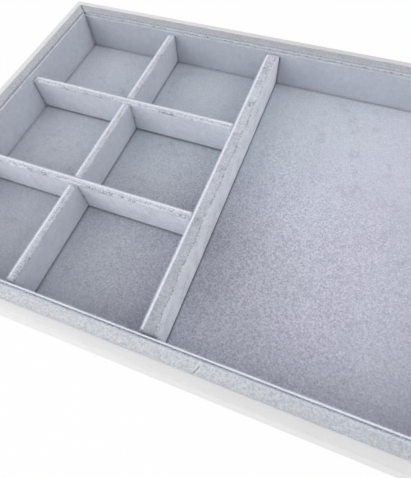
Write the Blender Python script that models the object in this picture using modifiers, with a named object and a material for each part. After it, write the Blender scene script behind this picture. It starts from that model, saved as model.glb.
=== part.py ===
"""Velvet-lined organizer tray with a thick main divider and a lift-out grid of thin dividers.

X runs left to right, Y front to back and Z up. The origin is the centre of the underside.
Every length is in metres.
"""
from math import cos, pi, radians, sin

import bmesh
import bpy
from mathutils import Vector

# Compartments, measured between velvet faces
SMALL_CELL_WIDTH = 0.054
LARGE_CELL_WIDTH = 0.1107
FRONT_ROW_DEPTH = 0.049
MIDDLE_ROW_DEPTH = 0.049
BACK_ROW_DEPTH = 0.054

# Dividers
THIN_DIVIDER_THICKNESS = 0.0032
MAIN_DIVIDER_THICKNESS = 0.0065
DIVIDER_RISE = 0.0166
DIVIDER_EDGE_RADIUS = 0.0009
DIVIDER_END_CLEARANCE = 0.0004

# Clearance between touching pieces
SEAT_GAP = 0.0003

# Sheet materials
LEATHERETTE = 0.0006
VELVET = 0.0006
BOTTOM_SHEET = 0.0009
FLOOR_CARD = 0.0012
BASE_BOARD = 0.0024

# Walls and rim
WALL_CORE = 0.0073
LINER_THICKNESS = 0.0014
LINER_RISE = 0.018
LINER_EDGE_RADIUS = 0.0005
RIM_STEP = 0.0014
LEATHER_RIM_WIDTH = 0.0043
RIM_VELVET_DROP = 0.0094
RIM_VELVET_RADIUS = 0.0009
UNDER_TURN = 0.012
WRAP_TOP_RADIUS = 0.0011
WRAP_FOOT_RADIUS = 0.0009
WRAP_CORNER_RADIUS = 0.0016
WRAP_FOOT_CLEARANCE = 0.0003

# Length by which a cutter runs past the solid that it cuts
OVERRUN = 0.002

# Facets in a rounded edge
EDGE_SEGMENTS = 3

# Edges sharper than this stay sharp where a surface is shaded smooth
SHARP_ANGLE = radians(40)

# Points closer than this are one point
MERGE_DISTANCE = 0.000001

# The wall's layers, as distances in from the outer face
CORE_OUTER = LEATHERETTE + SEAT_GAP
CORE_INNER = CORE_OUTER + WALL_CORE
RIM_VELVET_FACE = CORE_INNER + SEAT_GAP + VELVET
LINER_OUTER = RIM_VELVET_FACE + SEAT_GAP
WALL = LINER_OUTER + LINER_THICKNESS
RIM_VELVET_START = LEATHER_RIM_WIDTH + SEAT_GAP

# Plan of the inside and the outside
INNER_LENGTH = (2 * SMALL_CELL_WIDTH + THIN_DIVIDER_THICKNESS
                + MAIN_DIVIDER_THICKNESS + LARGE_CELL_WIDTH)
INNER_DEPTH = (FRONT_ROW_DEPTH + MIDDLE_ROW_DEPTH + BACK_ROW_DEPTH
               + 2 * THIN_DIVIDER_THICKNESS)
LENGTH = INNER_LENGTH + 2 * WALL
DEPTH = INNER_DEPTH + 2 * WALL
LEFT_FACE = -INNER_LENGTH / 2
FRONT_FACE = -INNER_DEPTH / 2
LONG_DIVIDER_X = LEFT_FACE + SMALL_CELL_WIDTH + THIN_DIVIDER_THICKNESS / 2
MAIN_DIVIDER_X = (LONG_DIVIDER_X + THIN_DIVIDER_THICKNESS / 2 + SMALL_CELL_WIDTH
                  + MAIN_DIVIDER_THICKNESS / 2)
FRONT_CROSS_Y = FRONT_FACE + FRONT_ROW_DEPTH + THIN_DIVIDER_THICKNESS / 2
BACK_CROSS_Y = FRONT_CROSS_Y + THIN_DIVIDER_THICKNESS + MIDDLE_ROW_DEPTH

# Levels from the table up
BASE_BOTTOM = BOTTOM_SHEET + SEAT_GAP
BASE_TOP = BASE_BOTTOM + BASE_BOARD
CARD_BOTTOM = BASE_TOP + SEAT_GAP
VELVET_BOTTOM = CARD_BOTTOM + FLOOR_CARD + SEAT_GAP
FLOOR = VELVET_BOTTOM + VELVET
LINER_TOP = FLOOR + LINER_RISE
RIM = LINER_TOP + RIM_STEP
CORE_TOP = RIM - LEATHERETTE - SEAT_GAP
DIVIDER_BOTTOM = FLOOR + SEAT_GAP
DIVIDER_TOP = FLOOR + DIVIDER_RISE
LAP_LEVEL = (DIVIDER_BOTTOM + DIVIDER_TOP) / 2

# Colour, roughness
LEATHERETTE_LOOK = ((0.80, 0.80, 0.79, 1.0), 0.5)
VELVET_LOOK = ((0.42, 0.43, 0.48, 1.0), 0.95)
FIBREBOARD_LOOK = ((0.45, 0.32, 0.20, 1.0), 0.8)
CARD_LOOK = ((0.50, 0.48, 0.45, 1.0), 0.9)
FELT_LOOK = ((0.30, 0.30, 0.32, 1.0), 1.0)


def clear_scene():
    """Removes whatever objects the open file holds."""
    for item in list(bpy.data.objects):
        bpy.data.objects.remove(item, do_unlink=True)


def new_collection(name):
    collection = bpy.data.collections.new(name)
    bpy.context.scene.collection.children.link(collection)
    return collection


def material(name, look):
    colour, roughness = look
    result = bpy.data.materials.new(name)
    result.use_nodes = True
    shader = result.node_tree.nodes["Principled BSDF"]
    shader.inputs["Base Color"].default_value = colour
    shader.inputs["Roughness"].default_value = roughness
    shader.inputs["Metallic"].default_value = 0.0
    result.diffuse_color = colour
    return result


def make_object(name, shape, look, centre=(0, 0, 0), turn=0.0):
    """Turns a bmesh into a part with its own material."""
    mesh = bpy.data.meshes.new(name)
    shape.to_mesh(mesh)
    shape.free()
    mesh.materials.append(material(name, look))
    mesh.shade_smooth()
    mesh.set_sharp_from_angle(angle=SHARP_ANGLE)
    result = bpy.data.objects.new(name, mesh)
    result.location = centre
    result.rotation_euler = (0, 0, turn)
    parts.objects.link(result)
    return result


def cube(size):
    shape = bmesh.new()
    bmesh.ops.create_cube(shape, size=1.0)
    bmesh.ops.scale(shape, vec=size, verts=shape.verts)
    return shape


def round_edges(shape, edges, radius):
    bmesh.ops.bevel(shape, geom=edges, offset=radius, offset_type="OFFSET", profile=0.5,
                    segments=EDGE_SEGMENTS, affect="EDGES", clamp_overlap=True)


def is_upright(edge):
    start, end = (vert.co for vert in edge.verts)
    return abs(start.z - end.z) > abs(start.x - end.x) + abs(start.y - end.y)


def on_top(edge):
    return all(vert.co.z > 0 for vert in edge.verts)


def board(name, low, high, look, radius=0.0, round_top=True):
    """A board between two corners. A radius rounds its upright edges, and its top edges unless told not to."""
    low, high = Vector(low), Vector(high)
    shape = cube(high - low)
    if radius:
        edges = [edge for edge in shape.edges if is_upright(edge) or (round_top and on_top(edge))]
        round_edges(shape, edges, radius)
    return make_object(name, shape, look, (low + high) / 2)


def cut_box(target, name, low, high):
    """Cuts the box between two corners out of a part."""
    low, high = Vector(low), Vector(high)
    shape = cube(high - low)
    mesh = bpy.data.meshes.new(name)
    shape.to_mesh(mesh)
    shape.free()
    cutter = bpy.data.objects.new(name, mesh)
    cutter.location = (low + high) / 2
    cutter.display_type = "WIRE"
    cutter.hide_render = True
    cutters.objects.link(cutter)
    step = target.modifiers.new(name, "BOOLEAN")
    step.operation = "DIFFERENCE"
    step.solver = "EXACT"
    step.object = cutter


def arc(centre_inset, centre_level, radius, first, last):
    """Points of a rounded edge, as distances in from the outer face and levels."""
    points = []
    for step in range(EDGE_SEGMENTS + 1):
        angle = first + (last - first) * step / EDGE_SEGMENTS
        points.append((centre_inset + radius * cos(angle), centre_level + radius * sin(angle)))
    return points


def rim_section():
    """The rim velvet's outer surface: over the wall's top, round its inner edge and down its face."""
    points = [(RIM_VELVET_START, RIM)]
    points += arc(RIM_VELVET_FACE - RIM_VELVET_RADIUS, RIM - RIM_VELVET_RADIUS, RIM_VELVET_RADIUS, pi / 2, 0)
    points.append((RIM_VELVET_FACE, RIM - RIM_VELVET_DROP))
    return points


def rim_velvet(name, outer_length, centre, turn):
    """One side's velvet strip, mitred at both ends. Local Y points into the tray."""
    shape = bmesh.new()
    chain = [shape.verts.new((0, depth, level)) for depth, level in rim_section()]
    edges = [shape.edges.new(pair) for pair in zip(chain, chain[1:])]
    grown = bmesh.ops.extrude_edge_only(shape, edges=edges)
    far = [item for item in grown["geom"] if isinstance(item, bmesh.types.BMVert)]
    for vert in chain:
        vert.co.x = vert.co.y + SEAT_GAP / 2 - outer_length / 2
    for vert in far:
        vert.co.x = outer_length / 2 - vert.co.y - SEAT_GAP / 2
    bmesh.ops.recalc_face_normals(shape, faces=shape.faces)
    top = max(shape.faces, key=lambda face: face.calc_center_median().z)
    if top.normal.z < 0:
        bmesh.ops.reverse_faces(shape, faces=shape.faces)
    strip = make_object(name, shape, VELVET_LOOK, centre, turn)
    step = strip.modifiers.new("thickness", "SOLIDIFY")
    step.thickness = VELVET
    step.offset = -1.0
    step.use_even_offset = True
    return strip


def plan_ring(inset):
    """The tray's outline, moved in. Its round corners tighten to sharp ones."""
    radius = max(WRAP_CORNER_RADIUS - inset, 0)
    x = LENGTH / 2 - inset - radius
    y = DEPTH / 2 - inset - radius
    points = []
    for quarter, (across, along) in enumerate(((x, y), (-x, y), (-x, -y), (x, -y))):
        for step in range(EDGE_SEGMENTS + 1):
            angle = pi / 2 * (quarter + step / EDGE_SEGMENTS)
            points.append((across + radius * cos(angle), along + radius * sin(angle)))
    return points


def outer_wrap():
    """The leatherette round the outside, turned over the rim's outer part and under the base's edge."""
    foot = WRAP_FOOT_CLEARANCE
    section = [(UNDER_TURN, foot)]
    section += arc(WRAP_FOOT_RADIUS, foot + WRAP_FOOT_RADIUS, WRAP_FOOT_RADIUS, -pi / 2, -pi)
    section += arc(WRAP_TOP_RADIUS, RIM - WRAP_TOP_RADIUS, WRAP_TOP_RADIUS, pi, pi / 2)
    section.append((LEATHER_RIM_WIDTH, RIM))
    shape = bmesh.new()
    rings = [[shape.verts.new((x, y, level)) for x, y in plan_ring(inset)] for inset, level in section]
    for lower, upper in zip(rings, rings[1:]):
        for index in range(len(lower)):
            after = (index + 1) % len(lower)
            shape.faces.new((lower[index], lower[after], upper[after], upper[index]))
    bmesh.ops.remove_doubles(shape, verts=shape.verts, dist=MERGE_DISTANCE)
    wrap = make_object("outer_wrap", shape, LEATHERETTE_LOOK)
    step = wrap.modifiers.new("thickness", "SOLIDIFY")
    step.thickness = LEATHERETTE
    step.offset = -1.0
    step.use_even_offset = True


def base():
    """The felt sheet underneath and the board that carries the walls."""
    half_length = LENGTH / 2
    half_depth = DEPTH / 2
    inset = UNDER_TURN + SEAT_GAP
    board("bottom_sheet", (inset - half_length, inset - half_depth, 0),
          (half_length - inset, half_depth - inset, BOTTOM_SHEET), FELT_LOOK)
    board("base_board", (CORE_OUTER - half_length, CORE_OUTER - half_depth, BASE_BOTTOM),
          (half_length - CORE_OUTER, half_depth - CORE_OUTER, BASE_TOP), FIBREBOARD_LOOK,
          WRAP_CORNER_RADIUS - CORE_OUTER, round_top=False)


def wall_cores():
    """Four boards on the base. The front and back ones run the full length."""
    half_length = LENGTH / 2
    half_depth = DEPTH / 2
    side_end = half_depth - CORE_INNER - SEAT_GAP
    for name, side in (("front", -1), ("back", 1)):
        near, far = sorted((side * (half_depth - CORE_OUTER), side * (half_depth - CORE_INNER)))
        board(name + "_wall_core", (CORE_OUTER - half_length, near, CARD_BOTTOM),
              (half_length - CORE_OUTER, far, CORE_TOP), FIBREBOARD_LOOK,
              WRAP_CORNER_RADIUS - CORE_OUTER, round_top=False)
    for name, side in (("left", -1), ("right", 1)):
        near, far = sorted((side * (half_length - CORE_OUTER), side * (half_length - CORE_INNER)))
        board(name + "_wall_core", (near, -side_end, CARD_BOTTOM), (far, side_end, CORE_TOP), FIBREBOARD_LOOK)


def rim_velvets():
    rim_velvet("front_rim_velvet", LENGTH, (0, -DEPTH / 2, 0), 0)
    rim_velvet("right_rim_velvet", DEPTH, (LENGTH / 2, 0, 0), pi / 2)
    rim_velvet("back_rim_velvet", LENGTH, (0, DEPTH / 2, 0), pi)
    rim_velvet("left_rim_velvet", DEPTH, (-LENGTH / 2, 0, 0), -pi / 2)


def liners():
    """Velvet-covered boards inside the walls. The side ones stand between the front and back ones."""
    half_length = LENGTH / 2 - LINER_OUTER
    half_depth = DEPTH / 2 - LINER_OUTER
    side_end = INNER_DEPTH / 2 - SEAT_GAP
    for name, side in (("front", -1), ("back", 1)):
        near, far = sorted((side * half_depth, side * INNER_DEPTH / 2))
        board(name + "_liner", (-half_length, near, CARD_BOTTOM), (half_length, far, LINER_TOP),
              VELVET_LOOK, LINER_EDGE_RADIUS)
    for name, side in (("left", -1), ("right", 1)):
        near, far = sorted((side * half_length, side * INNER_LENGTH / 2))
        board(name + "_liner", (near, -side_end, CARD_BOTTOM), (far, side_end, LINER_TOP),
              VELVET_LOOK, LINER_EDGE_RADIUS)


def floor():
    """The card and the velvet on it, laid between the liners."""
    x = INNER_LENGTH / 2 - SEAT_GAP
    y = INNER_DEPTH / 2 - SEAT_GAP
    board("floor_card", (-x, -y, CARD_BOTTOM), (x, y, CARD_BOTTOM + FLOOR_CARD), CARD_LOOK)
    board("floor_velvet", (-x, -y, VELVET_BOTTOM), (x, y, FLOOR), VELVET_LOOK)


def divider(name, low, high):
    """A board in a velvet sleeve that is open underneath. Returns both parts."""
    sleeve_skin = Vector((VELVET, VELVET, 0))
    core_skin = Vector((VELVET + SEAT_GAP, VELVET + SEAT_GAP, 0))
    velvet_top = Vector((0, 0, VELVET))
    core_top = Vector((0, 0, VELVET + SEAT_GAP))
    run = Vector((0, 0, OVERRUN))
    low, high = Vector(low), Vector(high)
    sleeve = board(name + "_velvet", low, high, VELVET_LOOK, DIVIDER_EDGE_RADIUS)
    cut_box(sleeve, name + "_hollow", low + sleeve_skin - run, high - sleeve_skin - velvet_top)
    core = board(name + "_core", low + core_skin, high - core_skin - core_top, CARD_LOOK)
    return sleeve, core


def notch(pieces, name, x, y, low, high):
    """Cuts a slot for a crossing thin divider, square to its two faces."""
    half = THIN_DIVIDER_THICKNESS / 2 + SEAT_GAP
    for piece in pieces:
        cut_box(piece, piece.name + name, (x - half, y - half, low), (x + half, y + half, high))


def dividers():
    """The main divider, and the three thin ones that lift out as one grid."""
    front = FRONT_FACE + DIVIDER_END_CLEARANCE
    back = -front
    main_half = MAIN_DIVIDER_THICKNESS / 2
    thin_half = THIN_DIVIDER_THICKNESS / 2
    divider("main_divider", (MAIN_DIVIDER_X - main_half, front, DIVIDER_BOTTOM),
            (MAIN_DIVIDER_X + main_half, back, DIVIDER_TOP))
    long_pieces = divider("long_divider", (LONG_DIVIDER_X - thin_half, front, DIVIDER_BOTTOM),
                          (LONG_DIVIDER_X + thin_half, back, DIVIDER_TOP))
    left = LEFT_FACE + DIVIDER_END_CLEARANCE
    right = MAIN_DIVIDER_X - main_half - DIVIDER_END_CLEARANCE
    for name, y in (("front_cross_divider", FRONT_CROSS_Y), ("back_cross_divider", BACK_CROSS_Y)):
        cross_pieces = divider(name, (left, y - thin_half, DIVIDER_BOTTOM), (right, y + thin_half, DIVIDER_TOP))
        notch(cross_pieces, "_slot", LONG_DIVIDER_X, y, DIVIDER_BOTTOM - OVERRUN, LAP_LEVEL + SEAT_GAP / 2)
        notch(long_pieces, "_slot_under_" + name, LONG_DIVIDER_X, y, LAP_LEVEL - SEAT_GAP / 2,
              DIVIDER_TOP + OVERRUN)


clear_scene()
parts = new_collection("organizer_tray")
cutters = new_collection("cutters")
base()
wall_cores()
outer_wrap()
rim_velvets()
liners()
floor()
dividers()
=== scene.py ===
"""The organizer tray's looks, built round its CAD model: white leatherette outside, pale grey velvet inside.

Lengths are in metres. X runs left to right, Y front to back and Z up, as in the CAD model.
"""
from math import ceil, cos, pi, radians, sin

import bmesh
import bpy
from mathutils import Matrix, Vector
from mathutils.noise import noise


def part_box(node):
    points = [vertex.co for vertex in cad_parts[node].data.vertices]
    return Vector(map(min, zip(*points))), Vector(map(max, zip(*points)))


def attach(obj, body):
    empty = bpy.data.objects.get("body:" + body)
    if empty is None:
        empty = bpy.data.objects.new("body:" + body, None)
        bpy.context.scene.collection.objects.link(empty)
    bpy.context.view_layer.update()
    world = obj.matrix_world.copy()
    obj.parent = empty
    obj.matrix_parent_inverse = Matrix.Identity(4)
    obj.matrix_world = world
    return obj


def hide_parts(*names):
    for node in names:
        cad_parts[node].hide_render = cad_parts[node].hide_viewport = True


bl_info = {
    "name": "Organizer Tray",
    "version": (1, 0, 0),
    "blender": (4, 5, 0),
    "location": "View3D > Sidebar > Tray",
    "description": "Builds the visible pieces of a velvet-lined organizer tray round its CAD model",
    "category": "Object",
}

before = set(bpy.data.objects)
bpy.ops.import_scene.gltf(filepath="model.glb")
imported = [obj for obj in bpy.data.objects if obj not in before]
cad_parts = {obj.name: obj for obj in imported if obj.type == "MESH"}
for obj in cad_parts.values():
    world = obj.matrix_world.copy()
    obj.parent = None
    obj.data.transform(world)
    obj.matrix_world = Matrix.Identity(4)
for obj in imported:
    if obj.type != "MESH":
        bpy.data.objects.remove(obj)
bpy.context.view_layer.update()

TRAY, GRID = "tray", "divider_grid"

WRAP_LOW, WRAP_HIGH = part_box("outer_wrap")
LENGTH = WRAP_HIGH.x - WRAP_LOW.x
DEPTH = WRAP_HIGH.y - WRAP_LOW.y
RIM = WRAP_HIGH.z
FOOT = WRAP_LOW.z

SIDES = ("front", "right", "back", "left")
THIN_DIVIDERS = ("long_divider", "front_cross_divider", "back_cross_divider")
UP = Vector((0, 0, 1))

# How dark the mark of a board on the pile is, pressed pile and painted contact shade together: a glued board
# marks firmly, the loose grid lightly.
STRONG_MARK, WEAK_MARK = 1.0, 0.5
# How much of a mark, pressed pile and painted shade, is gone in the middle under a loose board.
LOOSE_FADE = 0.65
# How fast a light factor over 1, painted light, turns the pile to the colour of its tips.
TIP_GAIN = 1.4
# How much of its mottle smooth pile loses, and the mottle's contrast round a ruffled oval.
SMOOTH_LOSS, RUFFLED_CONTRAST = 0.6, 0.75
# How dark a parting is, partly bare ground and partly painted shade: over 1 on its line, falling to 0 beside
# it.
PARTING_CREST, PARTING_FALL = 1.3, 2.6

# A wrapped board's mesh: the spacing of its points, the rounding at its foot and the width of its rolls.
BOARD_SPACING, BOARD_FOOT, ROLL_SIZE = 0.0016, 0.00025, 0.018
# What brings an edge that is turned by half a right angle to 1, and a corner's lean, which picks the edges
# with a painted highlight, to 1.
BEND_GAIN, HIGHLIGHT_SIDE_SHARE = 3.4, 0.7
# How far a face leans before it counts as turned up or down.
LEVEL = 0.05
# The lengths of the fringe's fibres, as shares of the full length.
SHORTEST, LONGEST = 0.55, 1.15

# A divider's sleeve: its rounding, its roll and its gap to the board inside it.
SLEEVE_RADIUS, SLEEVE_ROLL, CORE_GAP = 0.0009, 0.00012, 0.0003
# How far a cutter runs past what it cuts, the spare length of a sleeve, and how far past it an end is cut.
OVERRUN, SLEEVE_SPARE, END_CUT = 0.002, 0.003, 0.006

# What spreads a seed over the three directions of the noise.
SEED_WAY = (1, 0.37, 0.71)


class Wire:
    """An output socket. Arithmetic on it adds Math nodes, or Vector Math for a vector or a colour."""

    def __init__(self, socket):
        self.socket = socket
        self.tree = socket.id_data

    @classmethod
    def node(cls, tree, kind, settings=None, values=None, out=0):
        """Adds a node, its settings first, then its inputs' values or wires. Returns an output, if any."""
        item = tree.nodes.new(kind)
        for name, value in (settings or {}).items():
            setattr(item, name, value)
        for name, value in (values or {}).items():
            if isinstance(value, Wire):
                tree.links.new(value.socket, item.inputs[name])
            else:
                item.inputs[name].default_value = value
        return cls(item.outputs[out]) if item.outputs else None

    @classmethod
    def worked(cls, operation, *values, out=0):
        """The result of an operation on values, of which one or more are wires."""
        kind = "ShaderNodeMath"
        if any(isinstance(value, Wire) and value.socket.type in ("VECTOR", "RGBA") for value in values):
            kind = "ShaderNodeVectorMath"
            values = [even(value) if isinstance(value, (int, float)) else value for value in values]
        return cls.node(tree_of(values), kind, {"operation": operation}, dict(enumerate(values)), out)

    def maths(self, operation, *others, out=0):
        return Wire.worked(operation, self, *others, out=out)

    def beside(self, name):
        """Another output of the same node."""
        return Wire(self.socket.node.outputs[name])

    def clamped(self):
        return Wire.node(self.tree, "ShaderNodeClamp", None, {"Value": self})

    def __add__(self, other):
        return self.maths("ADD", other)

    def __sub__(self, other):
        return self.maths("SUBTRACT", other)

    def __rsub__(self, other):
        return Wire.worked("SUBTRACT", other, self)

    def __mul__(self, other):
        return self.maths("MULTIPLY", other)

    def __truediv__(self, other):
        return self.maths("DIVIDE", other)

    def __rtruediv__(self, other):
        return Wire.worked("DIVIDE", other, self)

    __radd__, __rmul__ = __add__, __mul__


def tree_of(values):
    """The node tree of the first wire among some values."""
    return next(value.tree for value in values if isinstance(value, Wire))


def even(level):
    """Three equal parts."""
    return (level, level, level)


def opaque(colour):
    return (*colour, 1.0)


def combined(*parts):
    """A vector made of up to three numbers."""
    return Wire.node(tree_of(parts), "ShaderNodeCombineXYZ", None, dict(enumerate(parts)))


def split(wire):
    """The three parts of a vector."""
    parts = Wire.node(wire.tree, "ShaderNodeSeparateXYZ", None, {0: wire})
    return parts, parts.beside("Y"), parts.beside("Z")


def mix_colours(share, first, second, blend="MIX"):
    first, second = (colour if isinstance(colour, Wire) else opaque(colour) for colour in (first, second))
    settings = {"data_type": "RGBA", "blend_type": blend}
    values = {0: share, 6: first, 7: second}
    return Wire.node(tree_of(values.values()), "ShaderNodeMix", settings, values, 2)


def grain(place, size, detail, out="Fac"):
    """Noise whose lumps are about size across."""
    values = {"Vector": place, "Scale": 1 / size, "Detail": detail, "Roughness": 0.55}
    return Wire.node(place.tree, "ShaderNodeTexNoise", None, values, out)


def lumps(place, size, detail, gain):
    """Noise widened about its middle by a gain, kept between 0 and 1."""
    return ((grain(place, size, detail) - 0.5) * gain + 0.5).clamped()


def mark(tree, name):
    """A number that the mesh carries."""
    return Wire.node(tree, "ShaderNodeAttribute", {"attribute_name": name}, None, "Fac")


def bare_material(name):
    """A material without nodes, its tree, and the place on the piece."""
    look = bpy.data.materials.new(name)
    look.use_nodes = True
    tree = look.node_tree
    tree.nodes.clear()
    return look, tree, Wire.node(tree, "ShaderNodeTexCoord", None, None, "Object")


def finish_material(tree, values, height=None, relief=0.0):
    """Adds the shader, a bump from a height where there is one, and the output."""
    if height is not None:
        bump = {"Distance": relief, "Height": height}
        values["Normal"] = Wire.node(tree, "ShaderNodeBump", None, bump, "Normal")
    shader = Wire.node(tree, "ShaderNodeBsdfPrincipled", None, values, "BSDF")
    Wire.node(tree, "ShaderNodeOutputMaterial", None, {"Surface": shader})


def oval_share(place, centre, reach):
    """1 in the middle of an oval patch, fading to 0 at its rim."""
    offset = (place - (*centre, 0.0)) / (*reach, 1.0)
    return (1 - offset.maths("DOT_PRODUCT", offset, out=1)).clamped()


def painted_light_colour(colour, light_factor):
    """A pile colour turned by a light factor, painted light and shade for a piece or a face: darker under 1,
    paler and a little greyer over 1.
    """
    if light_factor <= 1:
        return [channel * light_factor for channel in colour]
    tips = bpy.context.scene.tray_velvet.tip_and_highlight_colour
    share = (light_factor - 1) * TIP_GAIN
    return [channel + (tip - channel) * share for channel, tip in zip(colour, tips)]


def pile_depth(velvet, place, fine, smooth, ruffled):
    """How far the ground shows through: a fine mottle, broad brush marks, and blotches on smooth pile."""
    contrast = oval_share(place, *ruffled) + RUFFLED_CONTRAST if ruffled else 1.0
    brushed = lumps(place, velvet.brush_size, detail=2, gain=1.6)
    cloud = lumps(place, velvet.cloud_size, detail=2, gain=2.2)
    mottle = ((0.5 - fine) * contrast + 0.5) * (1 - smooth * SMOOTH_LOSS) * velvet.mottle
    return (mottle + (1 - brushed) * velvet.brush + (0.5 - cloud) * smooth * velvet.cloud).clamped()


def tinted_pile(velvet, place, pile, smooth, light_patches):
    """The pile's colour with its warm and cool tints, and with the patches of painted light and shade where
    it isn't smooth.
    """
    turned = lumps(place, velvet.tint_size, detail=1, gain=1.8)
    tinted = mix_colours(1.0, pile, mix_colours(turned, velvet.warm_tint, velvet.cool_tint), "MULTIPLY")
    for centre, reach, factors in light_patches:
        tinted = mix_colours(oval_share(place, centre, reach) * (1 - smooth), tinted, tinted * factors)
    return tinted


def edge_shade_share(velvet, place, edge, past, tuft):
    """How dark an edge is, partly bare ground and partly painted shade: dashes and specks along the parting,
    and a little between the edge's tufts.
    """
    line = (PARTING_CREST - past.maths("ABSOLUTE") * PARTING_FALL).clamped()
    dash = lumps(place, velvet.parting_size, detail=2, gain=5)
    speck = lumps(place, velvet.tuft_size * 0.8, detail=1, gain=6)
    return line * (dash * 0.7 + 0.3) * speck + edge * tuft * 0.2


def tuck_shading(place, start, end, width):
    """A short fold in the cloth, drawn in colour: the painted shade of its valley, and the painted highlight
    on its two ridges.
    """
    way = Vector(end) - Vector(start)
    length, unit = way.length, way.normalized()
    offset = place - (*start, 0.0)
    along = offset.maths("DOT_PRODUCT", (unit.x, unit.y, 0.0), out=1)
    across = offset.maths("DOT_PRODUCT", (-unit.y, unit.x, 0.0), out=1).maths("ABSOLUTE")
    past = ((along - length / 2).maths("ABSOLUTE") - length / 2).maths("MAXIMUM", 0.0)
    tuck_shade = (1.3 - (across + past) / width).clamped()
    tuck_highlight = (1 - ((across - width * 2).maths("ABSOLUTE") + past) / width).clamped()
    return tuck_shade, tuck_highlight


def beside_box(place, low, high, fade, loose):
    """1 at a box that stands on the pile, falling to 0 beside it: a mark of pressed pile and painted contact
    shade. Under a loose box it falls to a third.
    """
    out_x, out_y, out_z = split((place - (low + high) / 2).maths("ABSOLUTE") - (high - low) / 2)
    larger, smaller = out_x.maths("MAXIMUM", out_y), out_x.maths("MINIMUM", out_y)
    near = (1 - larger.maths("MAXIMUM", out_z) * (1 / fade)).clamped()
    if not loose:
        return near
    outline = smaller.maths("MAXIMUM", larger.maths("MINIMUM", out_z))
    return near * (1 - (outline * (-2 / fade)).clamped() * LOOSE_FADE)


def divider_marks(below=0.0):
    """The dividers' boxes, their tops lowered, each with the strength of its mark, pressed pile and painted
    contact shade, and its mark's softness.
    """
    boards = []
    for name in ("main_divider", *THIN_DIVIDERS):
        low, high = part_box(name + "_velvet")
        high.z -= below
        boards.append((low, high, WEAK_MARK if name in THIN_DIVIDERS else STRONG_MARK, 1.0))
    return boards


def velvet_material(name, light_factor, side_light_factor, colour=None, marking_boxes=(), light_patches=(), ruffled=None, drift=0.65,
                    shift=0.0, wear=1.0, tuck=None, foot=None):
    """Short pile: a fine mottle, brush marks and tints, a painted highlight along some edges and dark
    partings along the others.

    The two light factors are painted light and shade on flat and on upright faces. The pile is smoother on
    upright faces and past a parting, which is dashed, lies in from the edge by a shift and drifts there; a
    parting's darkness is partly bare ground and partly painted shade. Boxes that stand on the pile leave dark
    marks, pressed pile and painted contact shade, and a lifting board gets painted crease shade on its own
    foot. A light patch is an oval of painted light and shade: its centre, its reach and its colour's factors.
    In the ruffled oval the mottle is deeper.
    """
    velvet = bpy.context.scene.tray_velvet
    look, tree, place = bare_material(name)
    edge, upright = mark(tree, "edge"), mark(tree, "upright")
    fine = lumps(place, velvet.mottle_size, detail=3, gain=2.2)
    tuft = lumps(place, velvet.tuft_size, detail=1, gain=4)
    past = edge - ((1 - shift) - lumps(place, velvet.parting_drift, detail=1, gain=2.5) * drift)
    smooth = upright.maths("MAXIMUM", (past * 4 + 0.3).clamped())

    lying = colour or velvet.colour
    # Lit and shaded copies of the pile colour, painted light and shade: one for flat and one for upright
    # faces.
    ground = painted_light_colour(velvet.ground_colour, min(light_factor, 1))
    pile = mix_colours(upright, painted_light_colour(lying, light_factor), painted_light_colour(lying, side_light_factor))
    mottled = mix_colours(pile_depth(velvet, place, fine, smooth, ruffled), pile, ground)
    tinted = tinted_pile(velvet, place, mottled, smooth, light_patches)
    # Dark partings along the edges, partly bare ground and partly painted shade.
    edge_dark = (edge_shade_share(velvet, place, edge, past, tuft) * (velvet.edge_shade * wear)).clamped()
    edge_darkened = mix_colours(edge_dark, tinted, ground)
    # A painted highlight along the edges to the back left.
    highlight = ((mark(tree, "lip") - 1) * velvet.highlight_sharpness + 1).clamped()
    finished = mix_colours(highlight * (fine * 0.2 + 0.8) * velvet.lip, edge_darkened, velvet.tip_and_highlight_colour)

    dark = []
    # A fold drawn in colour: painted shade in its valley, painted highlight on its ridges.
    if tuck:
        tuck_shade, tuck_highlight = tuck_shading(place, *tuck)
        finished = mix_colours(tuck_highlight * 0.5, finished, velvet.tip_and_highlight_colour)
        dark.append(tuck_shade * 0.45)
    # Dark marks beside and under boxes on the pile: pressed pile and painted contact shade.
    for low, high, mark_strength, softness in marking_boxes:
        near = beside_box(place, low, high, velvet.press_shade_reach * softness, mark_strength == WEAK_MARK)
        dark.append(near * (velvet.press_shade * mark_strength))
    # Painted crease shade along a lifting board's foot.
    if foot is not None:
        dark.append((1.4 - (split(place)[2] - foot) * (1 / velvet.foot_shade_reach)).clamped() * velvet.press_shade)
    for share in dark:
        finished = mix_colours(share, finished, velvet.press_shade_colour)

    finish_material(tree, {
        "Base Color": finished,
        "Roughness": 0.9,
        "Specular IOR Level": 0.15,
        "Sheen Weight": velvet.sheen,
        "Sheen Roughness": velvet.sheen_roughness,
        "Sheen Tint": opaque(velvet.sheen_colour),
    }, fine * 0.6 + tuft * 0.4, velvet.pile_relief)
    return look


def fringe_material():
    """Loose pile along the edges, a little lighter at the tips than the lying pile; the pale tips are partly
    a painted highlight along the edges.
    """
    velvet = bpy.context.scene.tray_velvet
    look = bpy.data.materials.get("fringe_pile")
    if not look:
        look, tree, place = bare_material("fringe_pile")
        tufts = lumps(place, velvet.tuft_size, detail=2, gain=2)
        colour = mix_colours(tufts, velvet.tip_and_highlight_colour, velvet.colour)
        finish_material(tree, {"Base Color": colour, "Roughness": 0.8, "Specular IOR Level": 0.2})
    return look


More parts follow.
